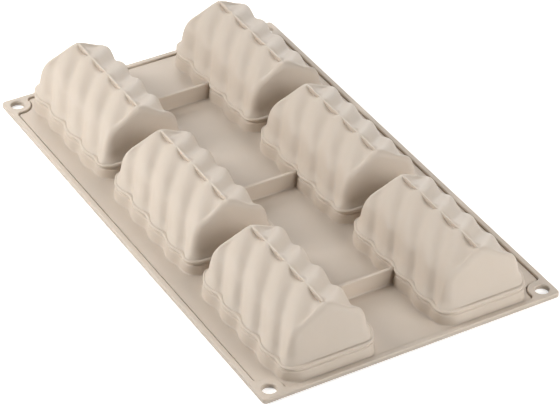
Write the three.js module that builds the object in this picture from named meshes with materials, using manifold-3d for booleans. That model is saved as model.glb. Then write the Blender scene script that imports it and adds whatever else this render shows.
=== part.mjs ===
// Silicone baking mould with six fluted log cavities, lying mouths down.
// Units are millimetres, +Z is up. The origin is the middle of the tray on the table.
// +X runs along the long side, from the far row to the near row, and +Y to the right column.

import * as THREE from 'three';
import { mergeVertices } from 'three/addons/utils/BufferGeometryUtils.js';
import Module from 'manifold-3d';

const wasm = await Module();
wasm.setup();

// Tray: a flat sheet with a raised rim
const trayLength = 300;
const trayWidth = 175;
const trayCornerRadius = 3;
const sheetThickness = 2;
const rimWidth = 3.2;
const rimHeight = 1;

// Hanging eyelets in the corners
const eyeletInset = 6.9;
const eyeletHoleDiameter = 7.6;
const eyeletWall = 3.8;
const eyeletSpan = 16;

// Cavity layout: the gaps set how much of the tray the skirts fill
const rowGap = 6;
const aisleWidth = 36;
const endClearance = 0.9;
const eyeletClearance = 0.6;
const rowNames = ['far', 'middle', 'near'];
const columnNames = ['left', 'right'];

// Skirt: the plinth around each mouth, with a ledge on top
const skirtHeight = 9.5;
const skirtCornerRadius = 9;
const skirtDraft = 0.4;
const ledgeWidth = 1.5;

// Fluted body above the ledge
const wallThickness = 2.2;
const bodyHeight = 26;
const wallLean = 0.3;
const footFlare = 1.3;
const footFlareHeight = 5;
const roofPitchDegrees = 26;
const shoulderRadius = 12.5;
const endLean = 0.2;
const endCrownHeight = 4;
const endCrownInset = 1.5;
const crownCornerRadius = 2.5;
const ridgeFlatWidth = 2;
const cornerGrowth = 4;
const leastCornerRadius = 0.5;
const longestBlend = 0.8;
const widestCorner = 0.9;

// Flutes: waves that run over the roof at a slant and straight down the walls
const flutePitch = 19.4;
const fluteDrift = 24.7;
const fluteBend = 1.25;
const fluteDepthAtLedge = 2;
const fluteDepthAtRidge = 3;
const fluteFade = 5;
const fluteEndLevel = 0.7;

// Ridge fin and cross ribs
const finThickness = 1.1;
const finRise = 0.2;
const finEndInset = 1;
const ribThickness = 2;
const seatGap = 0.3;

// Mesh fineness
const sidePoints = 20;
const cornerPoints = 3;
const arcSegments = 8;
const outerSteps = { shoulder: 3, roof: 4 };
const innerSteps = { shoulder: 2, roof: 3 };

const sheetTop = sheetThickness;
const rimTop = sheetTop + rimHeight;
const ledgeTop = sheetTop + skirtHeight;
const roofPitch = THREE.MathUtils.degToRad(roofPitchDegrees);
const endMargin = rimWidth + endClearance + skirtDraft;
const sideMargin = eyeletInset + eyeletHoleDiameter / 2 + eyeletWall + eyeletClearance;
const skirtLength = (trayLength - 2 * endMargin - (rowNames.length - 1) * rowGap) / rowNames.length;
const skirtWidth = (trayWidth - 2 * sideMargin - (columnNames.length - 1) * aisleWidth) / columnNames.length;
const rowPitch = skirtLength + rowGap;
const columnPitch = skirtWidth + aisleWidth;
const bodyLength = skirtLength - 2 * ledgeWidth;
const bodyWidth = skirtWidth - 2 * ledgeWidth;
const bodyCornerRadius = skirtCornerRadius - ledgeWidth;

const siliconeColour = 0xcfc3b3;
const siliconeRoughness = 0.62;

/** One named piece in beige silicone. */
function piece(name, geometry) {
  const material = new THREE.MeshStandardMaterial({ color: siliconeColour, roughness: siliconeRoughness });
  const mesh = new THREE.Mesh(geometry, material);
  mesh.name = name;
  return mesh;
}

/** A closed solid for cutting and joining, from a three.js geometry. */
function toSolid(geometry) {
  const bare = geometry.clone();
  bare.deleteAttribute('normal');
  bare.deleteAttribute('uv');
  const merged = mergeVertices(bare);
  return new wasm.Manifold(new wasm.Mesh({
    numProp: 3,
    vertProperties: new Float32Array(merged.attributes.position.array),
    triVerts: new Uint32Array(merged.index.array),
  }));
}

/** The three.js geometry of a cut or joined solid. */
function fromSolid(solid) {
  const mesh = solid.getMesh();
  const geometry = new THREE.BufferGeometry();
  geometry.setAttribute('position', new THREE.BufferAttribute(new Float32Array(mesh.vertProperties), 3));
  geometry.setIndex(new THREE.BufferAttribute(new Uint32Array(mesh.triVerts), 1));
  geometry.computeVertexNormals();
  return geometry;
}

/** A flat shape raised from one height to another. */
function slab(shape, bottom, top) {
  const geometry = new THREE.ExtrudeGeometry(shape, {
    depth: top - bottom,
    bevelEnabled: false,
    curveSegments: arcSegments,
  });
  geometry.translate(0, 0, bottom);
  return geometry;
}

/** A rectangle between two corners. */
function rectangle(x0, y0, x1, y1) {
  const shape = new THREE.Shape();
  shape.moveTo(x0, y0);
  shape.lineTo(x1, y0);
  shape.lineTo(x1, y1);
  shape.lineTo(x0, y1);
  shape.closePath();
  return shape;
}

/** A disc as a shape. */
function disc(x, y, radius) {
  const shape = new THREE.Shape();
  shape.absarc(x, y, radius, 0, 2 * Math.PI, false);
  return shape;
}

/** The tray's outline: a rectangle with rounded corners. */
function trayOutline() {
  const x = trayLength / 2 - trayCornerRadius;
  const y = trayWidth / 2 - trayCornerRadius;
  const shape = new THREE.Shape();
  shape.absarc(x, y, trayCornerRadius, 0, Math.PI / 2, false);
  shape.absarc(-x, y, trayCornerRadius, Math.PI / 2, Math.PI, false);
  shape.absarc(-x, -y, trayCornerRadius, Math.PI, 1.5 * Math.PI, false);
  shape.absarc(x, -y, trayCornerRadius, 1.5 * Math.PI, 2 * Math.PI, false);
  shape.closePath();
  return shape;
}

/**
 * A rounded rectangle as points with their outward directions, in turn round the outline.
 * The two long sides have sidePoints each and the corners cornerPoints each between them.
 */
function roundedOutline(halfLength, halfWidth, radius) {
  const x = halfLength - radius;
  const y = halfWidth - radius;
  const points = [];
  const addCorner = (centreX, centreY, start) => {
    for (let i = 1; i <= cornerPoints; i += 1) {
      const angle = start + (Math.PI / 2) * (i / (cornerPoints + 1));
      const nx = Math.cos(angle);
      const ny = Math.sin(angle);
      points.push({ x: centreX + radius * nx, y: centreY + radius * ny, nx, ny });
    }
  };
  const addSide = (side) => {
    for (let i = 0; i < sidePoints; i += 1) {
      const along = 1 - (2 * i) / (sidePoints - 1);
      points.push({ x: side * along * x, y: side * halfWidth, nx: 0, ny: side });
    }
  };
  addSide(1);
  addCorner(-x, y, Math.PI / 2);
  points.push({ x: -halfLength, y, nx: -1, ny: 0 });
  points.push({ x: -halfLength, y: -y, nx: -1, ny: 0 });
  addCorner(-x, -y, Math.PI);
  addSide(-1);
  addCorner(x, -y, 1.5 * Math.PI);
  points.push({ x: halfLength, y: -y, nx: 1, ny: 0 });
  points.push({ x: halfLength, y, nx: 1, ny: 0 });
  addCorner(x, y, 0);
  return points;
}

/** Height of the flute wave, from -1 in a valley to 1 on a crest, at a place seen from above. */
function fluteWave(x, y) {
  const reach = Math.min(Math.abs(y) / (bodyWidth / 2), 1);
  const drift = Math.sign(y) * fluteDrift * reach ** fluteBend;
  return Math.cos((2 * Math.PI * (x + drift)) / flutePitch);
}

/** How far the flutes move a point of an outline: a wave on the sides, nothing on the flat ends. */
function fluteOffset(point, halfLength, depth) {
  const fromEnd = (halfLength - Math.abs(point.x)) / fluteFade;
  const share = THREE.MathUtils.smoothstep(fromEnd, 0, 1);
  const level = THREE.MathUtils.lerp(fluteEndLevel, fluteWave(point.x, point.y), share);
  return (depth / 2) * level * point.ny ** 2;
}

/**
 * Half of the body's cross section without flutes, from the ledge up to the ridge, as levels.
 * The inner face is the same section moved in by inset. The steps are the levels on each stretch.
 */
function bodySection(inset, steps) {
  const wallAngle = Math.atan(wallLean);
  const roofAngle = Math.PI / 2 - roofPitch;
  const foot = bodyWidth / 2 - footFlare - inset / Math.cos(wallAngle);
  const height = bodyHeight - inset / Math.cos(roofPitch);
  const slope = Math.tan(roofPitch);
  const cornerHeight = (height - slope * foot) / (1 - slope * wallLean);
  const cornerWidth = foot - wallLean * cornerHeight;
  const halfTurn = (roofAngle - wallAngle) / 2;
  const shorterSide = Math.min(cornerHeight / Math.cos(wallAngle), cornerWidth / Math.cos(roofPitch));
  const radius = Math.min(shoulderRadius - inset, (longestBlend * shorterSide) / Math.tan(halfTurn));
  const tangent = radius * Math.tan(halfTurn);
  const centreWidth = cornerWidth + tangent * Math.sin(wallAngle) - radius * Math.cos(wallAngle);
  const centreHeight = cornerHeight - tangent * Math.cos(wallAngle) - radius * Math.sin(wallAngle);

  const wallLevel = { out: Math.cos(wallAngle), up: Math.sin(wallAngle) };
  const levels = [
    { width: foot, height: 0, out: 1, up: 0 },
    { width: foot - wallLean * footFlareHeight, height: footFlareHeight, ...wallLevel },
  ];
  for (let i = 0; i <= steps.shoulder; i += 1) {
    const angle = wallAngle + (roofAngle - wallAngle) * (i / steps.shoulder);
    levels.push({
      width: centreWidth + radius * Math.cos(angle),
      height: centreHeight + radius * Math.sin(angle),
      out: Math.cos(angle),
      up: Math.sin(angle),
    });
  }
  const roofStart = levels.at(-1).width;
  for (let i = 1; i <= steps.roof; i += 1) {
    const width = roofStart + (ridgeFlatWidth / 2 - roofStart) * (i / steps.roof);
    levels.push({ width, height: height - slope * width, out: Math.cos(roofAngle), up: Math.sin(roofAngle) });
  }
  return levels;
}

const outerSection = bodySection(0, outerSteps);
const innerSection = bodySection(wallThickness, innerSteps);

/** One ring of the body's face at a level of its section, with the flutes. */
function bodyRing(level, inset) {
  const climb = level.height / bodyHeight;
  const flare = footFlare * Math.max(0, 1 - level.height / footFlareHeight) ** 2;
  const crown = Math.max(0, level.height - (bodyHeight - endCrownHeight)) / endCrownHeight;
  const lean = footFlare + endLean * level.height + endCrownInset * crown ** 2;
  const halfLength = bodyLength / 2 - inset * Math.hypot(1, endLean) - lean + flare;
  const growth = (1 - climb) ** cornerGrowth;
  const fullRadius = THREE.MathUtils.lerp(crownCornerRadius, bodyCornerRadius, growth) - inset;
  const radius = Math.min(Math.max(fullRadius, leastCornerRadius), widestCorner * level.width);
  const depth = THREE.MathUtils.lerp(fluteDepthAtLedge, fluteDepthAtRidge, climb);
  return roundedOutline(halfLength, level.width + flare, radius).map((point) => {
    const wave = fluteOffset(point, halfLength, depth);
    return new THREE.Vector3(
      point.x + wave * level.out * point.nx,
      point.y + wave * level.out * point.ny,
      ledgeTop + level.height + wave * level.up,
    );
  });
}

/** One level ring of a skirt face. */
function skirtRing(halfLength, halfWidth, radius, z) {
  return roundedOutline(halfLength, halfWidth, radius).map((point) => {
    const wave = fluteOffset(point, halfLength, fluteDepthAtLedge);
    return new THREE.Vector3(point.x + wave * point.nx, point.y + wave * point.ny, z);
  });
}

/** The mouth's outline, where the body's inner face meets the ledge. */
function mouthRing(z) {
  const foot = bodyRing(innerSection[0], wallThickness);
  return foot.map((point) => new THREE.Vector3(point.x, point.y, z));
}

/** A surface through rings of points, each ring joined to the next. */
function stitch(rings, isClosed, caps) {
  const count = rings[0].length;
  const positions = rings.flat().flatMap((point) => point.toArray());
  const index = [];
  const last = isClosed ? rings.length : rings.length - 1;
  for (let k = 0; k < last; k += 1) {
    const lower = k * count;
    const upper = ((k + 1) % rings.length) * count;
    for (let i = 0; i < count; i += 1) {
      const next = (i + 1) % count;
      index.push(lower + i, lower + next, upper + next, lower + i, upper + next, upper + i);
    }
  }
  for (const { ring, isFacingUp } of caps) {
    const flat = rings[ring].map((point) => new THREE.Vector2(point.x, point.y));
    for (const [a, b, c] of THREE.ShapeUtils.triangulateShape(flat, [])) {
      const base = ring * count;
      index.push(base + a, base + (isFacingUp ? b : c), base + (isFacingUp ? c : b));
    }
  }
  const geometry = new THREE.BufferGeometry();
  geometry.setAttribute('position', new THREE.Float32BufferAttribute(positions, 3));
  geometry.setIndex(index);
  geometry.computeVertexNormals();
  return geometry;
}

/** The base sheet, with six mouths and four hanging holes. */
function baseSheet(cavities, eyelets) {
  const shape = trayOutline();
  const mouth = mouthRing(0);
  for (const { x, y } of cavities) {
    shape.holes.push(new THREE.Path(mouth.map((point) => new THREE.Vector2(point.x + x, point.y + y))));
  }
  for (const { x, y } of eyelets) {
    shape.holes.push(disc(x, y, eyeletHoleDiameter / 2));
  }
  return piece('base_sheet', slab(shape, 0, sheetTop));
}

/** The four straight runs of the rim, between the corner eyelets. */
function rimRails() {
  const x = trayLength / 2;
  const y = trayWidth / 2;
  const stopX = x - eyeletSpan;
  const stopY = y - eyeletSpan;
  const runs = {
    rim_left: rectangle(-stopX, -y, stopX, -y + rimWidth),
    rim_right: rectangle(-stopX, y - rimWidth, stopX, y),
    rim_far: rectangle(-x, -stopY, -x + rimWidth, stopY),
    rim_near: rectangle(x - rimWidth, -stopY, x, stopY),
  };
  return Object.entries(runs).map(([name, shape]) => piece(name, slab(shape, sheetTop, rimTop)));
}

/** A corner of the rim with the ring round its hanging hole. */
function eyelet(name, centre) {
  const x = Math.sign(centre.x) * (trayLength / 2);
  const y = Math.sign(centre.y) * (trayWidth / 2);
  const inX = -Math.sign(centre.x);
  const inY = -Math.sign(centre.y);
  const raise = (shape) => toSolid(slab(shape, sheetTop, rimTop));
  const arm = (lengthX, lengthY) => {
    const endX = x + inX * lengthX;
    const endY = y + inY * lengthY;
    return raise(rectangle(Math.min(x, endX), Math.min(y, endY), Math.max(x, endX), Math.max(y, endY)));
  };
  const ring = raise(disc(centre.x, centre.y, eyeletHoleDiameter / 2 + eyeletWall));
  const hole = toSolid(slab(disc(centre.x, centre.y, eyeletHoleDiameter / 2), 0, rimTop + sheetTop));
  const corner = arm(eyeletSpan, rimWidth).add(arm(rimWidth, eyeletSpan)).add(ring);
  const solid = corner.intersect(raise(trayOutline())).subtract(hole);
  return piece(name, fromSolid(solid));
}

/** The plinth round a cavity's mouth, standing on the sheet. */
function skirt(name) {
  const bottom = skirtRing(
    skirtLength / 2 + skirtDraft,
    skirtWidth / 2 + skirtDraft,
    skirtCornerRadius + skirtDraft,
    sheetTop,
  );
  const top = skirtRing(skirtLength / 2, skirtWidth / 2, skirtCornerRadius, ledgeTop);
  return piece(name, stitch([bottom, top, mouthRing(ledgeTop), mouthRing(sheetTop)], true, []));
}

/** The fluted body of a cavity: a wall of even thickness, open below. */
function fluteShell(name) {
  const outer = outerSection.map((level) => bodyRing(level, 0));
  const inner = innerSection.map((level) => bodyRing(level, wallThickness));
  const rings = [...inner.reverse(), ...outer];
  const caps = [{ ring: 0, isFacingUp: false }, { ring: rings.length - 1, isFacingUp: true }];
  return piece(name, stitch(rings, false, caps));
}

/** The thin upright fin along the ridge, filling its valleys up to a straight edge. */
function ridgeFin(name) {
  const ridge = bodyRing(outerSection.at(-1), 0);
  const rightSide = ridge.slice(0, sidePoints);
  const leftSide = ridge.filter((point) => point.y < 0).sort((a, b) => b.x - a.x);
  const heightOver = (x) => Math.max(...[rightSide, leftSide].map((side) => {
    const after = Math.max(1, side.findIndex((point) => point.x <= x));
    const share = (side[after - 1].x - x) / (side[after - 1].x - side[after].x);
    return THREE.MathUtils.lerp(side[after - 1].z, side[after].z, share);
  }));
  const crest = Math.max(...ridge.map((point) => point.z));
  const top = crest + seatGap + finRise;
  const reach = rightSide[0].x - finEndInset;
  const stations = [reach, ...rightSide.map((point) => point.x).filter((x) => Math.abs(x) < reach), -reach];
  const shape = new THREE.Shape();
  shape.moveTo(-reach, top);
  shape.lineTo(reach, top);
  stations.forEach((x) => shape.lineTo(x, heightOver(x) + seatGap));
  shape.closePath();
  const geometry = new THREE.ExtrudeGeometry(shape, { depth: finThickness, bevelEnabled: false });
  geometry.translate(0, 0, -finThickness / 2);
  geometry.rotateX(Math.PI / 2);
  return piece(name, geometry);
}

/** The upright rib across the middle of a row, between its two skirts. */
function crossRib(name, x) {
  const half = ribThickness / 2;
  const skirtFace = (offset) => {
    const wave = (fluteDepthAtLedge / 2) * fluteWave(offset, skirtWidth / 2);
    return skirtWidth / 2 + skirtDraft + wave;
  };
  const widest = Math.max(...[-2, -1, 0, 1, 2].map((step) => skirtFace(step * half)));
  const reach = columnPitch / 2 - widest - seatGap;
  return piece(name, slab(rectangle(x - half, -reach, x + half, reach), sheetTop, ledgeTop));
}

/** The whole mould. */
function buildMould() {
  const mould = new THREE.Group();
  const cavities = rowNames.flatMap((row, r) => columnNames.map((column, c) => ({
    label: `${row}_${column}`,
    x: (r - 1) * rowPitch,
    y: (c - 0.5) * columnPitch,
  })));
  const eyelets = ['far', 'near'].flatMap((end, e) => columnNames.map((side, s) => ({
    label: `${end}_${side}`,
    x: (2 * e - 1) * (trayLength / 2 - eyeletInset),
    y: (2 * s - 1) * (trayWidth / 2 - eyeletInset),
  })));

  mould.add(baseSheet(cavities, eyelets));
  mould.add(...rimRails());
  mould.add(...eyelets.map((centre) => eyelet(`eyelet_${centre.label}`, centre)));
  for (const { label, x, y } of cavities) {
    const cavity = new THREE.Group();
    cavity.position.set(x, y, 0);
    cavity.add(skirt(`skirt_${label}`), fluteShell(`flute_shell_${label}`), ridgeFin(`ridge_fin_${label}`));
    mould.add(cavity);
  }
  rowNames.forEach((row, r) => mould.add(crossRib(`cross_rib_${row}`, (r - 1) * rowPitch)));
  return mould;
}

export default buildMould();
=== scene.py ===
"""Silicone baking mould with six fluted log cavities, lying mouths down in a plain studio.

Sizes are in millimetres until a mesh is made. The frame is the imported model's own: +X runs from
the far row to the near row, +Y to the right column and +Z up, with the tray's middle at the origin.
"""

import logging
import math
from collections.abc import Sequence
from dataclasses import dataclass
from enum import Enum
from typing import Any, NamedTuple

import bmesh
import bpy
import numpy as np
from mathutils import Matrix, Vector
from mathutils.geometry import delaunay_2d_cdt

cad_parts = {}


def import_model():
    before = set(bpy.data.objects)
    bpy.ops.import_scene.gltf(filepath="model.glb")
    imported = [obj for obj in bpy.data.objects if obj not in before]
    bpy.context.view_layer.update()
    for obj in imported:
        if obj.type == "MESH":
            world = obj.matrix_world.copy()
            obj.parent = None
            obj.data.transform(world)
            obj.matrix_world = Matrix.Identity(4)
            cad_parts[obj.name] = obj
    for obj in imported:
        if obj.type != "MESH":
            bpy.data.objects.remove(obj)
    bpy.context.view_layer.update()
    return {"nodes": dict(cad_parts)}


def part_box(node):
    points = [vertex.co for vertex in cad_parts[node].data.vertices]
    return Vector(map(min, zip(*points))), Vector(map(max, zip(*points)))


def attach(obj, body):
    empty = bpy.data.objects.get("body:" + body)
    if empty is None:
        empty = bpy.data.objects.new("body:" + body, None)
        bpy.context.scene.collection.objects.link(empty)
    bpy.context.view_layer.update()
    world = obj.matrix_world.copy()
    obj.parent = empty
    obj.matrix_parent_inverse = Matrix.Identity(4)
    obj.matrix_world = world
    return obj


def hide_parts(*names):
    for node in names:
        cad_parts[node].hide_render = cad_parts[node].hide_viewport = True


LOG = logging.getLogger("mould")
MM = 0.001
BODY = "root"
TINY = 1e-9
TRIANGLES_INSIDE = 1
SAME_PLACE_MM = 1e-6
MERGE_MM = 0.001
SHEET_TOP_MM = 2.0
LEDGE_TOP_MM = 11.5
FINE_STEPS = 5
COARSE_STEPS = 3
WHITE_HEX = "#FFFFFF"
MIX_FACTOR = 0
MIX_FIRST_COLOUR = 6
MIX_SECOND_COLOUR = 7
MIX_RESULT_COLOUR = 2

Point = tuple[float, float]


class Row(Enum):
    """Rows of cavities, from the back of the picture to its front."""

    FAR = "far"
    MIDDLE = "middle"
    NEAR = "near"


class Column(Enum):
    """Columns of cavities, as the picture shows them."""

    LEFT = "left"
    RIGHT = "right"


class Facing(Enum):
    """The way that a flat face looks."""

    UP = 1
    DOWN = -1


def linear(hex_colour: str) -> tuple[float, float, float, float]:
    """Turns an sRGB colour to the linear one that shaders take.

    Args:
        hex_colour: six hex digits after a hash sign.

    Returns:
        Red, green, blue and an alpha of one.
    """
    channels = [int(hex_colour[i : i + 2], 16) / 255 for i in (1, 3, 5)]
    red, green, blue = (c / 12.92 if c <= 0.04045 else ((c + 0.055) / 1.055) ** 2.4 for c in channels)
    return red, green, blue, 1.0


def pattern_scale(size_mm: float) -> float:
    """Gives the texture scale at which a pattern's features are that many millimetres across."""
    return 1.0 / (size_mm * MM)


def add_node(
    tree: bpy.types.NodeTree,
    kind: str,
    settings: dict[str, Any] | None = None,
    inputs: dict[str | int, Any] | None = None,
) -> bpy.types.Node:
    """Adds one node with its settings and links.

    Args:
        tree: the material's or world's node tree.
        kind: Blender's name for the kind of node.
        settings: properties of the node itself.
        inputs: for each input socket, the value that it holds or the output that it is linked to.

    Returns:
        The new node.
    """
    node = tree.nodes.new(kind)
    for name, value in (settings or {}).items():
        setattr(node, name, value)
    for key, value in (inputs or {}).items():
        if isinstance(value, bpy.types.NodeSocket):
            tree.links.new(value, node.inputs[key])
        else:
            node.inputs[key].default_value = value
    return node


@dataclass(frozen=True)
class MouldedSilicone:
    """Food silicone as it leaves a blasted steel mould: matte, a little translucent, faintly uneven.

    The blasting gives the eye a dry, powdery surface with wide soft highlights. The soft wall lets
    a little light through, so that shadows in creases stay warm, and its pigment is never quite even.
    """

    name: str = "moulded_silicone_beige"
    pigment_hex: str = "#CEC1B3"
    thin_pigment_hex: str = "#C7BAAB"
    index_of_refraction: float = 1.41
    smooth_roughness: float = 0.5
    dull_roughness: float = 0.64
    mottle_mm: float = 26.0
    mottle_detail: float = 3.0
    mottle_contrast: float = 0.55
    ripple_mm: float = 11.0
    ripple_detail: float = 1.0
    ripple_height_mm: float = 0.25
    ripple_strength: float = 0.3
    grain_mm: float = 1.1
    grain_detail: float = 2.0
    grain_contrast: float = 0.6
    grain_low: float = 0.3
    grain_high: float = 0.7
    grain_height_mm: float = 0.06
    grain_strength: float = 0.25
    translucency: float = 0.15
    depth_mm: float = 1.6
    depth_by_channel: tuple[float, float, float] = (1.0, 0.75, 0.55)

    def material(self) -> bpy.types.Material:
        """Makes the material.

        Returns:
            A node material with colour, roughness and relief from patterns of real sizes.
        """
        material = bpy.data.materials.new(self.name)
        material.use_nodes = True
        tree = material.node_tree
        tree.nodes.clear()
        place = add_node(tree, "ShaderNodeTexCoord").outputs["Object"]
        mottle = add_node(
            tree,
            "ShaderNodeTexNoise",
            inputs={
                "Vector": place,
                "Scale": pattern_scale(self.mottle_mm),
                "Detail": self.mottle_detail,
                "Roughness": self.mottle_contrast,
            },
        )
        colour = add_node(
            tree,
            "ShaderNodeMix",
            settings={"data_type": "RGBA"},
            inputs={
                MIX_FACTOR: mottle.outputs["Fac"],
                MIX_FIRST_COLOUR: linear(self.pigment_hex),
                MIX_SECOND_COLOUR: linear(self.thin_pigment_hex),
            },
        )
        # A blasted mould's grain is near 0.2 mm. It doesn't show at this distance, so it is drawn coarser.
        grain = add_node(
            tree,
            "ShaderNodeTexNoise",
            inputs={
                "Vector": place,
                "Scale": pattern_scale(self.grain_mm),
                "Detail": self.grain_detail,
                "Roughness": self.grain_contrast,
            },
        )
        roughness = add_node(
            tree,
            "ShaderNodeMapRange",
            inputs={
                "Value": grain.outputs["Fac"],
                "From Min": self.grain_low,
                "From Max": self.grain_high,
                "To Min": self.smooth_roughness,
                "To Max": self.dull_roughness,
            },
        )
        ripple = add_node(
            tree,
            "ShaderNodeTexNoise",
            inputs={
                "Vector": place,
                "Scale": pattern_scale(self.ripple_mm),
                "Detail": self.ripple_detail,
            },
        )
        uneven = add_node(
            tree,
            "ShaderNodeBump",
            inputs={
                "Strength": self.ripple_strength,
                "Distance": self.ripple_height_mm * MM,
                "Height": ripple.outputs["Fac"],
            },
        )
        relief = add_node(
            tree,
            "ShaderNodeBump",
            inputs={
                "Strength": self.grain_strength,
                "Distance": self.grain_height_mm * MM,
                "Height": grain.outputs["Fac"],
                "Normal": uneven.outputs["Normal"],
            },
        )
        shader = add_node(
            tree,
            "ShaderNodeBsdfPrincipled",
            inputs={
                "Base Color": colour.outputs[MIX_RESULT_COLOUR],
                "Roughness": roughness.outputs["Result"],
                "IOR": self.index_of_refraction,
                "Subsurface Weight": self.translucency,
                "Subsurface Radius": self.depth_by_channel,
                "Subsurface Scale": self.depth_mm * MM,
                "Normal": relief.outputs["Normal"],
            },
        )
        add_node(tree, "ShaderNodeOutputMaterial", inputs={"Surface": shader.outputs["BSDF"]})
        return material


@dataclass(frozen=True)
class PaintedFloor:
    """Matte white paint on a studio floor, which shows as white paper and still takes a shadow."""

    name: str = "matte_white_floor_paint"
    paint_hex: str = "#F1F0EE"
    lift: float = 0.55

    def material(self) -> bpy.types.Material:
        """Makes the material.

        Returns:
            A matte node material that camera rays see lifted to white.
        """
        material = bpy.data.materials.new(self.name)
        material.use_nodes = True
        tree = material.node_tree
        tree.nodes.clear()
        paint = add_node(tree, "ShaderNodeBsdfDiffuse", inputs={"Color": linear(self.paint_hex)})
        seen = seen_directly(tree)
        strength = add_node(
            tree,
            "ShaderNodeMath",
            settings={"operation": "MULTIPLY"},
            inputs={0: seen, 1: self.lift},
        )
        glow = add_node(tree, "ShaderNodeEmission", inputs={"Strength": strength.outputs[0]})
        both = add_node(tree, "ShaderNodeAddShader", inputs={0: paint.outputs[0], 1: glow.outputs[0]})
        add_node(tree, "ShaderNodeOutputMaterial", inputs={"Surface": both.outputs[0]})
        return material


def seen_directly(tree: bpy.types.NodeTree) -> bpy.types.NodeSocket:
    """Tells rays that show a surface from rays that only light by it.

    Args:
        tree: the node tree that asks.

    Returns:
        An output that is one for camera, glossy and transmission rays.
    """
    path = add_node(tree, "ShaderNodeLightPath")
    shown = path.outputs["Is Camera Ray"]
    for other in ("Is Glossy Ray", "Is Transmission Ray"):
        either = add_node(
            tree,
            "ShaderNodeMath",
            settings={"operation": "MAXIMUM"},
            inputs={0: shown, 1: path.outputs[other]},
        )
        shown = either.outputs[0]
    return shown


def is_within(place: np.ndarray, starts: np.ndarray, ends: np.ndarray) -> bool:
    """Tells if a place lies inside an outline and outside the holes in it.

    Args:
        place: the place's x and y.
        starts: the first points of all edges of the outline and the holes.
        ends: their second points.

    Returns:
        True if a line from the place along X crosses an odd number of edges.
    """
    crosses = (starts[:, 1] > place[1]) != (ends[:, 1] > place[1])
    first, second = starts[crosses], ends[crosses]
    share = (place[1] - first[:, 1]) / (second[:, 1] - first[:, 1])
    x = first[:, 0] + share * (second[:, 0] - first[:, 0])
    return bool(np.count_nonzero(x > place[0]) % 2)


class MeshDraft:
    """The points and faces of one piece while it is put together, in millimetres."""

    def __init__(self) -> None:
        """Starts with nothing."""
        self.points: list[np.ndarray] = []
        self.faces: list[tuple[int, ...]] = []
        self.is_smooth: list[bool] = []
        self.count = 0

    def add_ring(self, points: np.ndarray) -> range:
        """Adds points in turn round a ring.

        Args:
            points: one row of x, y and z for each point.

        Returns:
            The points' numbers.
        """
        start = self.count
        self.points.append(points)
        self.count += len(points)
        return range(start, self.count)

    def join(self, lower: range, upper: range) -> None:
        """Joins two rings of as many points with smooth four-sided faces.

        Args:
            lower: the first ring. The faces look outwards if it is anticlockwise seen from the second.
            upper: the second ring.
        """
        for i in range(len(lower)):
            after = (i + 1) % len(lower)
            self.faces.append((lower[i], lower[after], upper[after], upper[i]))
            self.is_smooth.append(True)

    def loft(self, rings: Sequence[np.ndarray], is_closed: bool = False) -> list[range]:
        """Joins rings in turn to a surface.

        Args:
            rings: the rings' points.
            is_closed: True if the last ring is joined to the first as well.

        Returns:
            The numbers of each ring's points.
        """
        numbers = [self.add_ring(ring) for ring in rings]
        for lower, upper in zip(numbers, numbers[1:]):
            self.join(lower, upper)
        if is_closed:
            self.join(numbers[-1], numbers[0])
        return numbers

    def fill(self, loops: Sequence[range], facing: Facing) -> None:
        """Fills a level face, flat.

        Args:
            loops: the outline and the holes in it.
            facing: the way that the face looks.
        """
        points = np.concatenate(self.points)
        numbers = [n for loop in loops for n in loop]
        flat = [Vector((points[n][0], points[n][1])) for n in numbers]
        edges = []
        for loop in loops:
            start = len(edges)
            edges += [(start + i, start + (i + 1) % len(loop)) for i in range(len(loop))]
        _, _, triangles, origins, _, _ = delaunay_2d_cdt(flat, edges, [], TRIANGLES_INSIDE, SAME_PLACE_MM)
        level = points[numbers][:, :2]
        pairs = np.array(edges)
        starts = level[pairs[:, 0]]
        ends = level[pairs[:, 1]]
        for triangle in triangles:
            a, b, c = (numbers[origins[t][0]] for t in triangle)
            if not is_within((points[a] + points[b] + points[c]) / 3, starts, ends):
                continue
            ab = points[b] - points[a]
            ac = points[c] - points[a]
            is_up = ab[0] * ac[1] - ab[1] * ac[0] > 0
            self.faces.append((a, b, c) if is_up == (facing is Facing.UP) else (a, c, b))
            self.is_smooth.append(False)

    def cap(self, ring: range, is_reversed: bool) -> None:
        """Closes a ring with one flat face.

        Args:
            ring: the ring's points.
            is_reversed: True if the ring is clockwise seen from outside.
        """
        self.faces.append(tuple(reversed(ring)) if is_reversed else tuple(ring))
        self.is_smooth.append(False)

    def mesh(self, name: str, centre: Point = (0.0, 0.0)) -> bpy.types.Mesh:
        """Makes the mesh, with points in one place merged.

        Args:
            name: the mesh's name.
            centre: where the draft's origin stands in the frame.

        Returns:
            The mesh in metres, in the frame.
        """
        places = (np.concatenate(self.points) + np.array([*centre, 0.0])) * MM
        mesh = bpy.data.meshes.new(name)
        mesh.from_pydata(places.tolist(), [], self.faces)
        mesh.polygons.foreach_set("use_smooth", self.is_smooth)
        draft = bmesh.new()
        draft.from_mesh(mesh)
        bmesh.ops.remove_doubles(draft, verts=draft.verts, dist=MERGE_MM * MM)
        draft.to_mesh(mesh)
        draft.free()
        mesh.update()
        return mesh


def show(mesh: bpy.types.Mesh, material: bpy.types.Material, nodes: Sequence[str]) -> bpy.types.Object:
    """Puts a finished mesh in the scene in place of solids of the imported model.

    Args:
        mesh: the piece's mesh, whose name the piece takes.
        material: its finish.
        nodes: the solids that it stands for.

    Returns:
        The new piece.
    """
    piece = bpy.data.objects.new(mesh.name, mesh)
    bpy.context.scene.collection.objects.link(piece)
    mesh.materials.append(material)
    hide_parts(*nodes)
    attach(piece, BODY)
    LOG.info("%s: %d faces, in place of %s", piece.name, len(mesh.polygons), ", ".join(nodes))
    return piece


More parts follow.
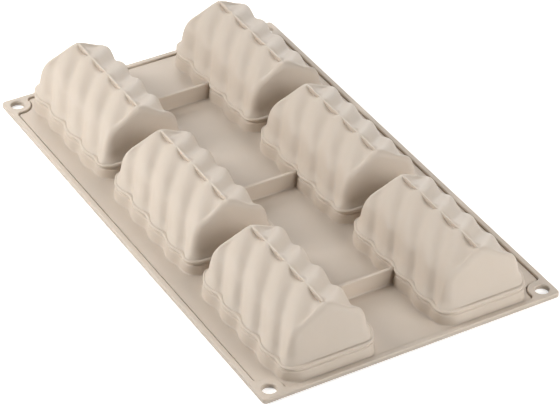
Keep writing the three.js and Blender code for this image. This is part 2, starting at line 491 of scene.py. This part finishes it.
def arc(centre: Point, radius: float, start: float, end: float, steps: int) -> list[Point]:
    """Gives points along an arc of a profile.

    Args:
        centre: the arc's centre.
        radius: its radius.
        start: the first angle in degrees.
        end: the last angle in degrees.
        steps: how many stretches the arc has.

    Returns:
        The points, both ends among them.
    """
    angles = np.radians(np.linspace(start, end, steps + 1))
    return [(centre[0] + radius * math.cos(a), centre[1] + radius * math.sin(a)) for a in angles]


@dataclass(frozen=True)
class Outline:
    """How finely a rounded rectangle is drawn."""

    side_points: int
    corner_points: int
    end_points: int

    def trace(
        self,
        half_length: float,
        half_width: float,
        radius_x: float,
        radius_y: float,
        spread: float = 0.0,
    ) -> tuple[np.ndarray, np.ndarray, np.ndarray]:
        """Draws the outline anticlockwise, from the right side on.

        Args:
            half_length: half of its size along X.
            half_width: half of its size along Y.
            radius_x: how far a corner's curve reaches along X.
            radius_y: how far it reaches along Y.
            spread: how much wider the far right and the near left corner are than the other two.

        Returns:
            The points, the outward directions there, and how much each point belongs to a long side.
        """
        x = half_length - radius_x
        y = half_width - radius_y
        side = np.linspace(x, spread - x, self.side_points)
        sweep = np.sin(np.linspace(math.pi / 2, -math.pi / 2, self.end_points))
        end = (y - spread / 2) * sweep - spread / 2
        turn = np.linspace(0, math.pi / 2, self.corner_points + 2)[1:-1]
        points = [np.column_stack([side, np.full(len(side), half_width)])]
        normals = [np.tile([0.0, 1.0], (len(side), 1))]
        shares = [np.ones(len(side))]
        corners = (
            (turn + math.pi / 2, spread, y - spread),
            (turn + math.pi, 0.0, -y),
        )
        for angle, wider, centre_y in corners:
            cosine, sine = np.cos(angle), np.sin(angle)
            along, across = radius_x + wider, radius_y + wider
            lean = np.column_stack([(across + TINY) * cosine, (along + TINY) * sine])
            points.append(np.column_stack([along * cosine + wider - x, across * sine + centre_y]))
            normals.append(lean / np.linalg.norm(lean, axis=1, keepdims=True))
            shares.append(sine**2)
        points.insert(2, np.column_stack([np.full(len(end), -half_length), end]))
        normals.insert(2, np.tile([-1.0, 0.0], (len(end), 1)))
        shares.insert(2, np.zeros(len(end)))
        half = np.concatenate(points)
        half_normals = np.concatenate(normals)
        return (
            np.concatenate([half, -half]),
            np.concatenate([half_normals, -half_normals]),
            np.tile(np.concatenate(shares), 2),
        )


def raised(points: np.ndarray, z: float) -> np.ndarray:
    """Puts flat points at a height."""
    return np.column_stack([points, np.full(len(points), z)])


def cavity_centre(row: Row, column: Column) -> Point:
    """Gives a cavity's middle in the frame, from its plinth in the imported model."""
    low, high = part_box(f"skirt_{row.value}_{column.value}")
    middle = (low + high) / 2 / MM
    return middle.x, middle.y


class Level(NamedTuple):
    """One level of the shell's section, with the direction out of its face."""

    half_width: float
    height: float
    out: float
    up: float


@dataclass(frozen=True)
class FlutedCavity:
    """The form that all six cavities share: a plinth, a fluted shell and a fin along its ridge."""

    skirt_length: float = 93.0
    skirt_width: float = 54.4
    skirt_corner_radius: float = 9.0
    skirt_corner_spread: float = 4.0
    skirt_draft: float = 0.5
    sheet_top: float = SHEET_TOP_MM
    ledge_top: float = LEDGE_TOP_MM
    ledge_width: float = 1.5
    foot_fillet: float = 0.6
    bead_height: float = 2.0
    bead_proud: float = 0.2
    groove_height: float = 1.3
    groove_depth: float = 1.5
    face_recess: float = 0.1
    crease_depth: float = 0.05
    wall_thickness: float = 2.2
    body_height: float = 26.0
    wall_lean: float = 0.3
    foot_flare: float = 1.3
    foot_flare_height: float = 5.0
    roof_pitch_degrees: float = 26.0
    shoulder_radius: float = 12.5
    ridge_round: float = 1.0
    end_lean: float = 0.2
    end_crown_height: float = 3.4
    end_crown_inset: float = 1.3
    crown_corner_radius: float = 2.6
    corner_growth: float = 4.0
    flute_pitch: float = 19.4
    flute_drift: float = 24.7
    flute_bend: float = 1.25
    flute_skew: float = 1.3
    skirt_valley_share: float = 3.0
    valley_share_at_ledge: float = 0.8
    valley_share_at_ridge: float = 3.0
    skirt_flute_depth: float = 1.9
    flute_depth_at_foot: float = 2.6
    flute_depth_at_ridge: float = 1.8
    flute_fade: float = 4.0
    flute_end_level: float = 0.7
    fin_thickness: float = 1.1
    fin_root: float = 0.9
    fin_reach: float = 36.6
    fin_end_fall: float = 0.9
    fin_end_blend: float = 4.0
    fin_crease_depth: float = 1.1
    fin_crease_reach: float = 3.2
    fin_crease_blend: float = 2.6
    least_corner_radius: float = 0.5
    least_out: float = 0.2
    corner_share: float = 0.9
    wall_crowding: float = 1.5
    roof_crowding: float = 1.4
    outer_steps: tuple[int, int, int] = (12, 14, 26)
    inner_steps: tuple[int, int, int] = (6, 9, 14)
    foot_steps: tuple[int, int, int] = (1, 1, 1)
    ridge_steps: tuple[int, int, int] = (1, 1, 2)
    bead_start_degrees: float = -70.0
    bead_steps: int = 10
    groove_steps: int = 4
    fin_stations: int = 90
    outline: Outline = Outline(side_points=132, corner_points=8, end_points=12)

    @property
    def body_length(self) -> float:
        """Length of the shell at its foot."""
        return self.skirt_length - 2 * self.ledge_width

    @property
    def body_width(self) -> float:
        """Width of the shell at its foot."""
        return self.skirt_width - 2 * self.ledge_width

    @property
    def body_corner_radius(self) -> float:
        """Radius of the shell's corners at its foot."""
        return self.skirt_corner_radius - self.ledge_width

    def flute_offset(
        self,
        points: np.ndarray,
        shares: np.ndarray,
        half_length: float,
        valley: float,
        skew: float,
        depth: float,
    ) -> np.ndarray:
        """Gives how far the flutes move points of an outline: lobes on the sides, nothing on the ends.

        Args:
            points: the outline's points.
            shares: how much each point belongs to a long side.
            half_length: half of the outline's length.
            valley: how wide the valleys are against the lobes: less than one is narrow.
            skew: how far the lobes lean over towards the steeper of their two flanks.
            depth: depth of the flutes, from crest to valley.

        Returns:
            The distance outwards for each point.
        """
        x, y = points[:, 0], points[:, 1]
        reach = np.minimum(np.abs(y) / (self.body_width / 2), 1.0)
        drift = np.sign(y) * self.flute_drift * reach**self.flute_bend
        turn = 2 * math.pi * (x + drift) / self.flute_pitch
        turn += skew * np.sign(y) * reach**2 * (1 + np.cos(turn)) / 2
        lobe = np.cos(turn / 2) ** 2
        wave = 2 * lobe * (1 + valley) / (lobe + valley) - 1
        share = np.clip((half_length - np.abs(x)) / self.flute_fade, 0.0, 1.0)
        share = share * share * (3 - 2 * share)
        level = self.flute_end_level + (wave - self.flute_end_level) * share
        near_fin = np.clip((self.fin_crease_reach - np.abs(y)) / self.fin_crease_blend, 0.0, 1.0)
        crease = self.fin_crease_depth * near_fin * np.clip(1 - level, 0.0, 1.0)
        return (depth / 2 * level - crease) * shares

    def section(self, inset: float, steps: tuple[int, int, int]) -> list[Level]:
        """Draws half of the shell's cross section without flutes, from the ledge up to the ridge.

        Args:
            inset: how far the face lies inside the outer one.
            steps: how many stretches the wall, the shoulder and the roof have.

        Returns:
            The levels, with heights over the ledge.
        """
        wall_steps, shoulder_steps, roof_steps = steps
        wall_angle = math.atan(self.wall_lean)
        pitch = math.radians(self.roof_pitch_degrees)
        slope = math.tan(pitch)
        foot = self.body_width / 2 - self.foot_flare - inset / math.cos(wall_angle)
        height = self.body_height - inset / math.cos(pitch)
        corner_height = (height - slope * foot) / (1 - slope * self.wall_lean)
        corner_width = foot - self.wall_lean * corner_height
        roof_angle = math.pi / 2 - pitch
        radius = self.shoulder_radius - inset
        tangent = radius * math.tan((roof_angle - wall_angle) / 2)
        centre_width = corner_width + tangent * math.sin(wall_angle) - radius * math.cos(wall_angle)
        centre_height = corner_height - tangent * math.cos(wall_angle) - radius * math.sin(wall_angle)
        wall_top = centre_height + radius * math.sin(wall_angle)
        levels = []
        for t in np.linspace(0.0, 1.0, wall_steps + 1)[:-1]:
            level = wall_top * t**self.wall_crowding
            angle = wall_angle * min(level / self.foot_flare_height, 1.0)
            width = foot - self.wall_lean * level
            levels.append(Level(width, level, math.cos(angle), math.sin(angle)))
        for angle in np.linspace(wall_angle, roof_angle, shoulder_steps + 1):
            cosine, sine = math.cos(angle), math.sin(angle)
            width = centre_width + radius * cosine
            levels.append(Level(width, centre_height + radius * sine, cosine, sine))
        roof_start = levels[-1].half_width
        for t in np.linspace(0.0, 1.0, roof_steps + 1)[1:]:
            width = roof_start * (1 - t) ** self.roof_crowding
            span = math.hypot(width, self.ridge_round)
            angle = math.atan2(span, slope * width)
            levels.append(Level(width, height - slope * span, math.cos(angle), math.sin(angle)))
        return levels

    def body_ring(self, level: Level, inset: float, crown_top: float) -> np.ndarray:
        """Draws one ring of the shell's face, with the flutes.

        Args:
            level: a level of its section.
            inset: how far the face lies inside the outer one.
            crown_top: height of the ridge over the ledge, where the ends have curved in.

        Returns:
            The ring's points.
        """
        width, height, out, up = level
        climb = height / self.body_height
        near_foot = max(0.0, 1 - height / self.foot_flare_height) ** 2
        flare = self.foot_flare * near_foot
        crown = min(max(0.0, 1 - (crown_top - height) / self.end_crown_height), 1.0)
        crown_inset = self.end_crown_inset * (1 - math.sqrt(1 - crown * crown))
        lean = self.foot_flare + self.end_lean * height + crown_inset
        half_length = self.body_length / 2 - inset * math.hypot(1, self.end_lean) - lean + flare
        growth = (1 - climb) ** self.corner_growth
        widening = self.body_corner_radius - self.crown_corner_radius
        radius = self.crown_corner_radius + widening * growth - inset
        radius = max(radius, self.least_corner_radius)
        half_width = width + flare
        radius_y = min(radius / max(out, self.least_out), self.corner_share * half_width)
        points, normals, shares = self.outline.trace(half_length, half_width, radius, radius_y)
        deeper = self.flute_depth_at_ridge - self.flute_depth_at_foot
        depth = self.flute_depth_at_foot + deeper * climb
        wider = self.valley_share_at_ridge - self.valley_share_at_ledge
        valley = self.valley_share_at_ledge + wider * climb**2
        skew = self.flute_skew * (1 - near_foot)
        offset = self.flute_offset(points, shares, half_length, valley, skew, depth)
        moved = points + normals * (offset * out)[:, None]
        return np.column_stack([moved, self.ledge_top + height + offset * up])

    def face_rings(self, inset: float, steps: tuple[int, int, int]) -> list[np.ndarray]:
        """Draws all rings of one face of the shell, from its foot to its ridge.

        Args:
            inset: how far the face lies inside the outer one.
            steps: how many stretches the wall, the shoulder and the roof have.

        Returns:
            The rings' points.
        """
        levels = self.section(inset, steps)
        return [self.body_ring(level, inset, levels[-1].height) for level in levels]

    def mouth(self) -> np.ndarray:
        """Draws the mouth's outline, which the shell's inner face rises from."""
        level = self.section(self.wall_thickness, self.foot_steps)[0]
        return self.body_ring(level, self.wall_thickness, self.body_height)[:, :2]

    def skirt_ring(self, grow: float, z: float) -> np.ndarray:
        """Draws one ring of the plinth's outer face.

        Args:
            grow: how far it stands outside the ledge's edge.
            z: its height.

        Returns:
            The ring's points.
        """
        half_length = self.skirt_length / 2 + grow
        half_width = self.skirt_width / 2 + grow
        depth = (self.ledge_top - z) / (self.ledge_top - self.sheet_top)
        radius = self.skirt_corner_radius + grow
        spread = self.skirt_corner_spread * depth
        points, normals, shares = self.outline.trace(half_length, half_width, radius, radius, spread)
        offset = self.flute_offset(
            points, shares, half_length, self.skirt_valley_share, 0.0, self.skirt_flute_depth
        )
        return raised(points + normals * offset[:, None], z)

    def skirt(self, name: str, centre: Point) -> bpy.types.Mesh:
        """Builds the plinth, with a fillet at its foot and a bead round its ledge.

        Args:
            name: the piece's name.
            centre: the cavity's middle in the frame.

        Returns:
            The closed mesh.
        """
        bead = self.bead_height / 2
        bead_middle = self.ledge_top - bead
        fillet_top = self.sheet_top + self.foot_fillet
        foot = (self.skirt_draft + self.foot_fillet, fillet_top)
        profile = arc(foot, self.foot_fillet, 270, 180, FINE_STEPS)
        groove = self.groove_height / 2
        groove_middle = self.ledge_top - self.bead_height - groove
        brow = (-self.face_recess - groove, groove_middle - 2 * groove)
        profile += arc(brow, groove, 0, 90, self.groove_steps)
        profile.append((-self.groove_depth, groove_middle))
        bead_axis = (self.bead_proud - bead, bead_middle)
        profile += arc(bead_axis, bead, self.bead_start_degrees, 90, self.bead_steps)
        profile.append((-self.ledge_width, self.ledge_top - self.crease_depth))
        rings = [self.skirt_ring(grow, z) for grow, z in profile]
        mouth = self.mouth()
        rings.append(raised(mouth, self.ledge_top - self.crease_depth))
        rings.append(raised(mouth, self.sheet_top))
        draft = MeshDraft()
        draft.loft(rings, is_closed=True)
        return draft.mesh(name, centre)

    def shell(self, name: str, centre: Point) -> bpy.types.Mesh:
        """Builds the fluted shell, a wall of even thickness that is open below.

        Args:
            name: the piece's name.
            centre: the cavity's middle in the frame.

        Returns:
            The closed mesh.
        """
        outer = self.face_rings(0.0, self.outer_steps)
        inner = self.face_rings(self.wall_thickness, self.inner_steps)
        seat = self.ledge_top - self.crease_depth
        outer_seat = raised(outer[0][:, :2], seat)
        inner_seat = raised(inner[0][:, :2], seat)
        draft = MeshDraft()
        draft.loft([*reversed(inner), inner_seat, outer_seat, *outer])
        return draft.mesh(name, centre)

    def fin(self, name: str, centre: Point) -> bpy.types.Mesh:
        """Builds the thin upright fin, whose straight edge is level with the flutes' crests.

        Args:
            name: the piece's name.
            centre: the cavity's middle in the frame.

        Returns:
            The closed mesh.
        """
        ridge = self.face_rings(0.0, self.ridge_steps)[-1][: self.outline.side_points]
        crest = ridge[:, 2].max()
        half = self.fin_thickness / 2
        edge = arc((half / 2, -half / 2), half / 2, 0, 90, COARSE_STEPS)
        edge += [(-y, z) for y, z in reversed(edge)]
        draft = MeshDraft()
        rings = []
        for x in np.linspace(-self.fin_reach, self.fin_reach, self.fin_stations):
            fall = max(0.0, 1 - (self.fin_reach - abs(x)) / self.fin_end_blend) ** 2
            top = crest - self.fin_end_fall * fall
            root = np.interp(x, ridge[::-1, 0], ridge[::-1, 2]) - self.fin_root
            outline = [(half, root), *((y, top + z) for y, z in edge), (-half, root)]
            rings.append(np.array([(x, y, z) for y, z in outline]))
        numbers = draft.loft(rings)
        draft.cap(numbers[0], is_reversed=True)
        draft.cap(numbers[-1], is_reversed=False)
        return draft.mesh(name, centre)

    def build(self, row: Row, column: Column, material: bpy.types.Material) -> None:
        """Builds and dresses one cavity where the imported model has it.

        Args:
            row: its row.
            column: its column.
            material: its finish.
        """
        label = f"{row.value}_{column.value}"
        centre = cavity_centre(row, column)
        show(self.skirt(f"plinth_{label}", centre), material, [f"skirt_{label}"])
        show(self.shell(f"fluted_log_{label}", centre), material, [f"flute_shell_{label}"])
        show(self.fin(f"crest_fin_{label}", centre), material, [f"ridge_fin_{label}"])


@dataclass(frozen=True)
class Tray:
    """The flat sheet that the cavities stand on, with its raised rim and hanging eyelets."""

    length: float = 300.0
    width: float = 175.0
    corner_radius: float = 2.2
    sheet_top: float = SHEET_TOP_MM
    rim_top: float = 3.0
    rim_width: float = 3.2
    rim_seat: float = 1.0
    groove_width: float = 0.5
    eyelet_inset: float = 6.9
    hole_diameter: float = 7.6
    eyelet_wall: float = 3.8
    eyelet_fillet: float = 2.2
    edge_round: float = 0.7
    lip_round: float = 0.35
    mouth_round: float = 0.8
    hole_points: int = 48
    eyelet_points: int = 26
    fillet_points: int = 7
    outline: Outline = Outline(side_points=2, corner_points=6, end_points=2)

    def edge(self) -> tuple[np.ndarray, np.ndarray]:
        """Draws the tray's outer outline, with its outward directions."""
        radius = self.corner_radius
        points, normals, _ = self.outline.trace(self.length / 2, self.width / 2, radius, radius)
        return points, normals

    def hole_centres(self) -> list[Point]:
        """Gives the middles of the four hanging holes, anticlockwise from the near right one."""
        x = self.length / 2 - self.eyelet_inset
        y = self.width / 2 - self.eyelet_inset
        return [(x, y), (-x, y), (-x, -y), (x, -y)]

    def hole(self, centre: Point) -> tuple[np.ndarray, np.ndarray]:
        """Draws a hanging hole, with the directions out of the material."""
        angle = np.linspace(0, 2 * math.pi, self.hole_points, endpoint=False)
        away = np.column_stack([np.cos(angle), np.sin(angle)])
        return np.array(centre) + away * (self.hole_diameter / 2), -away

    def inner_edge(self, clearance: float) -> tuple[np.ndarray, np.ndarray]:
        """Draws the rim's inner edge, which bends round the eyelets.

        Args:
            clearance: how far inside the rim's edge the line lies.

        Returns:
            The points anticlockwise and the directions towards the tray's middle.
        """
        ring = self.hole_diameter / 2 + self.eyelet_wall + clearance
        fillet = self.eyelet_fillet - clearance
        near = self.eyelet_inset - self.rim_width - clearance - fillet
        far = math.sqrt((ring + fillet) ** 2 - near**2)
        touch = math.atan2(near, far)
        quarter = math.pi / 2
        into = np.linspace(0, quarter + touch, self.fillet_points)
        around = np.linspace(touch - quarter, -math.pi - touch, self.eyelet_points)[1:-1]
        out_of = np.linspace(-touch, quarter, self.fillet_points)
        bends = (
            ((near, -far), -fillet, into),
            ((0.0, 0.0), ring, around),
            ((-far, near), -fillet, out_of),
        )
        corner = []
        aim = []
        for centre, radius, angles in bends:
            away = np.column_stack([np.cos(angles), np.sin(angles)])
            corner.append(np.array(centre) + abs(radius) * away)
            aim.append(math.copysign(1.0, radius) * away)
        points = []
        towards = []
        for number, centre in enumerate(self.hole_centres()):
            spin = quarter * number
            turn = np.array([[math.cos(spin), math.sin(spin)], [-math.sin(spin), math.cos(spin)]])
            points.append(np.concatenate(corner) @ turn + np.array(centre))
            towards.append(np.concatenate(aim) @ turn)
        return np.concatenate(points), np.concatenate(towards)

    def sheet(self, mouths: Sequence[tuple[np.ndarray, np.ndarray]]) -> bpy.types.Mesh:
        """Builds the sheet, with its mouths, its holes and a groove along the rim.

        Args:
            mouths: each mouth's outline and its directions out of the material.

        Returns:
            The closed mesh.
        """
        draft = MeshDraft()
        edge, edge_out = self.edge()
        inner, inner_in = self.inner_edge(self.groove_width)
        lower_loops = []
        seat_loops = []
        top_loops = []
        lip = self.lip_round
        low_profile = [*arc((lip, lip), lip, 270, 180, COARSE_STEPS), (0.0, self.rim_seat)]
        walls = draft.loft([raised(edge - edge_out * grow, z) for grow, z in low_profile])
        lower_loops.append(walls[0])
        seat_loops.append(walls[-1])
        for centre in self.hole_centres():
            hole, hole_out = self.hole(centre)
            walls = draft.loft([raised(hole - hole_out * grow, z)[::-1] for grow, z in low_profile])
            lower_loops.append(walls[0])
            seat_loops.append(walls[-1])
        top_z = self.sheet_top - lip
        high_profile = [(0.0, self.rim_seat), *arc((lip, top_z), lip, 180, 90, COARSE_STEPS)]
        walls = draft.loft([raised(inner + inner_in * grow, z) for grow, z in high_profile])
        seat_loops.append(walls[0])
        top_loops.append(walls[-1])
        bend = self.mouth_round
        mouth_profile = [*arc((bend, bend), bend, 270, 180, FINE_STEPS), (0.0, self.sheet_top)]
        for mouth, mouth_out in mouths:
            walls = draft.loft([raised(mouth - mouth_out * grow, z)[::-1] for grow, z in mouth_profile])
            lower_loops.append(walls[0])
            top_loops.append(walls[-1])
        draft.fill(lower_loops, Facing.DOWN)
        draft.fill(seat_loops, Facing.UP)
        draft.fill(top_loops, Facing.UP)
        return draft.mesh("mould_sheet")

    def rim(self) -> bpy.types.Mesh:
        """Builds the rounded rim and its eyelets as one ring.

        Returns:
            The closed mesh.
        """
        draft = MeshDraft()
        edge, edge_out = self.edge()
        inner, inner_in = self.inner_edge(0.0)
        round_z = self.rim_top - self.edge_round
        crown = arc((self.edge_round, round_z), self.edge_round, 180, 90, FINE_STEPS)
        profile = [(0.0, self.rim_seat), *crown]
        loops = [draft.loft([raised(edge - edge_out * grow, z) for grow, z in profile])]
        loops.append(draft.loft([raised(inner - inner_in * grow, z)[::-1] for grow, z in profile]))
        for centre in self.hole_centres():
            hole, hole_out = self.hole(centre)
            loops.append(draft.loft([raised(hole - hole_out * grow, z)[::-1] for grow, z in profile]))
        draft.fill([loop[0] for loop in loops], Facing.DOWN)
        draft.fill([loop[-1] for loop in loops], Facing.UP)
        return draft.mesh("mould_rim")

    def build(self, cavity: FlutedCavity, material: bpy.types.Material) -> None:
        """Builds and dresses the sheet and the rim.

        Args:
            cavity: the cavities' form, whose mouths open through the sheet.
            material: their finish.
        """
        mouths = []
        mouth = cavity.mouth()
        ahead = np.roll(mouth, -1, axis=0) - np.roll(mouth, 1, axis=0)
        inwards = np.column_stack([-ahead[:, 1], ahead[:, 0]])
        inwards /= np.linalg.norm(inwards, axis=1, keepdims=True)
        for row in Row:
            for column in Column:
                mouths.append((mouth + np.array(cavity_centre(row, column)), inwards))
        show(self.sheet(mouths), material, ["base_sheet"])
        rails = [f"rim_{side}" for side in ("left", "right", "far", "near")]
        eyelets = [f"eyelet_{end}_{side}" for end in ("far", "near") for side in ("left", "right")]
        show(self.rim(), material, [*rails, *eyelets])


@dataclass(frozen=True)
class CrossRib:
    """The upright web between the two plinths of a row."""

    thickness: float = 2.0
    sheet_top: float = SHEET_TOP_MM
    top: float = LEDGE_TOP_MM
    edge_round: float = 0.6
    foot_fillet: float = 0.8
    root: float = 1.2
    edge_steps: int = 4
    stations: int = 8

    def build(self, row: Row, material: bpy.types.Material) -> None:
        """Builds and dresses the rib of one row, with its ends let into the plinths.

        Args:
            row: the row that it crosses.
            material: its finish.
        """
        node = f"cross_rib_{row.value}"
        low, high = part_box(node)
        middle = (low.x + high.x) / 2 / MM
        reach = high.y / MM + self.root
        half = self.thickness / 2
        round_z = self.top - self.edge_round
        foot = (half + self.foot_fillet, self.sheet_top + self.foot_fillet)
        right = arc(foot, self.foot_fillet, 270, 180, FINE_STEPS)
        right += arc((half - self.edge_round, round_z), self.edge_round, 0, 90, self.edge_steps)
        outline = [*right, *((-x, z) for x, z in reversed(right))]
        draft = MeshDraft()
        places = np.linspace(reach, -reach, self.stations)
        rings = draft.loft([np.array([(x, y, z) for x, z in outline]) for y in places])
        draft.cap(rings[0], is_reversed=True)
        draft.cap(rings[-1], is_reversed=False)
        show(draft.mesh(f"row_web_{row.value}", (middle, 0.0)), material, [node])


@dataclass(frozen=True)
class SoftBox:
    """A square studio lamp behind a diffuser, aimed at the mould."""

    name: str
    azimuth: float
    elevation: float
    size: float
    power: float
    distance: float

    def build(self) -> None:
        """Hangs the lamp."""
        data = bpy.data.lights.new(self.name, "AREA")
        data.shape = "SQUARE"
        data.size = self.size
        data.energy = self.power
        lamp = bpy.data.objects.new(self.name, data)
        bpy.context.scene.collection.objects.link(lamp)
        azimuth, elevation = math.radians(self.azimuth), math.radians(self.elevation)
        level = math.cos(elevation)
        aim = Vector((level * math.cos(azimuth), level * math.sin(azimuth), math.sin(elevation)))
        lamp.location = aim * self.distance
        lamp.rotation_euler = aim.to_track_quat("Z", "Y").to_euler()
        LOG.info("%s: %.1f W", self.name, self.power)


@dataclass(frozen=True)
class Studio:
    """The plain white studio: floor, white room, lamps and camera."""

    floor_size: float = 6.0
    floor_drop_mm: float = 0.3
    lamps: tuple[SoftBox, ...] = (
        SoftBox("left_softbox", azimuth=247.5, elevation=38.0, size=0.35, power=2.45, distance=0.65),
        SoftBox("left_low_softbox", azimuth=270.0, elevation=15.0, size=0.28, power=0.6, distance=0.65),
        SoftBox("left_fill_softbox", azimuth=247.5, elevation=30.0, size=0.6, power=4.5, distance=1.6),
        SoftBox("near_softbox", azimuth=22.5, elevation=32.0, size=0.3, power=0.95, distance=0.65),
        SoftBox("near_low_softbox", azimuth=22.5, elevation=12.0, size=0.3, power=0.85, distance=0.65),
        SoftBox("near_fill_softbox", azimuth=22.5, elevation=30.0, size=0.6, power=5.2, distance=1.6),
        SoftBox("back_softbox", azimuth=157.5, elevation=30.0, size=0.6, power=7.9, distance=1.6),
        SoftBox("back_low_softbox", azimuth=135.0, elevation=10.0, size=0.5, power=4.4, distance=1.6),
        SoftBox("top_softbox", azimuth=180.0, elevation=75.0, size=0.6, power=3.9, distance=1.6),
    )
    camera_location: tuple[float, float, float] = (1.03196, -0.59005, 0.85634)
    camera_right: tuple[float, float, float] = (0.49823, 0.86703, 0.00478)
    camera_forward: tuple[float, float, float] = (-0.70083, 0.40596, -0.58654)
    lens_mm: float = 174.67
    sensor_mm: float = 36.0

    def floor(self) -> None:
        """Lays the floor just under the mould."""
        half = self.floor_size / 2
        z = -self.floor_drop_mm * MM
        corners = [(-half, -half, z), (half, -half, z), (half, half, z), (-half, half, z)]
        mesh = bpy.data.meshes.new("studio_floor")
        mesh.from_pydata(corners, [], [(0, 1, 2, 3)])
        mesh.materials.append(PaintedFloor().material())
        floor = bpy.data.objects.new("studio_floor", mesh)
        bpy.context.scene.collection.objects.link(floor)

    def surroundings(self) -> None:
        """Shows the room white, where lamps alone light the mould."""
        world = bpy.data.worlds.new("white_room")
        world.use_nodes = True
        bpy.context.scene.world = world
        tree = world.node_tree
        tree.nodes.clear()
        backdrop = add_node(
            tree,
            "ShaderNodeBackground",
            inputs={"Color": linear(WHITE_HEX), "Strength": seen_directly(tree)},
        )
        add_node(tree, "ShaderNodeOutputWorld", inputs={"Surface": backdrop.outputs[0]})

    def camera(self) -> None:
        """Sets the camera at the picture's view."""
        data = bpy.data.cameras.new("studio_camera")
        data.sensor_fit = "HORIZONTAL"
        data.sensor_width = self.sensor_mm
        data.lens = self.lens_mm
        camera = bpy.data.objects.new("studio_camera", data)
        bpy.context.scene.collection.objects.link(camera)
        right = Vector(self.camera_right).normalized()
        back = -Vector(self.camera_forward).normalized()
        up = back.cross(right).normalized()
        turn = Matrix((right, up, back)).transposed().to_4x4()
        camera.matrix_world = Matrix.Translation(self.camera_location) @ turn
        bpy.context.scene.camera = camera

    def build(self) -> None:
        """Sets up the whole studio."""
        bpy.context.scene.view_settings.view_transform = "Standard"
        self.camera()
        self.floor()
        self.surroundings()
        for lamp in self.lamps:
            lamp.build()


def main() -> None:
    """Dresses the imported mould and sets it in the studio."""
    logging.basicConfig(level=logging.INFO, format="%(name)s: %(message)s")
    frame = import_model()
    LOG.info("frame: %d solids", len(frame["nodes"]))
    silicone = MouldedSilicone().material()
    cavity = FlutedCavity()
    Tray().build(cavity, silicone)
    for row in Row:
        for column in Column:
            cavity.build(row, column, silicone)
        CrossRib().build(row, silicone)
    Studio().build()


if __name__ == "__main__":
    main()
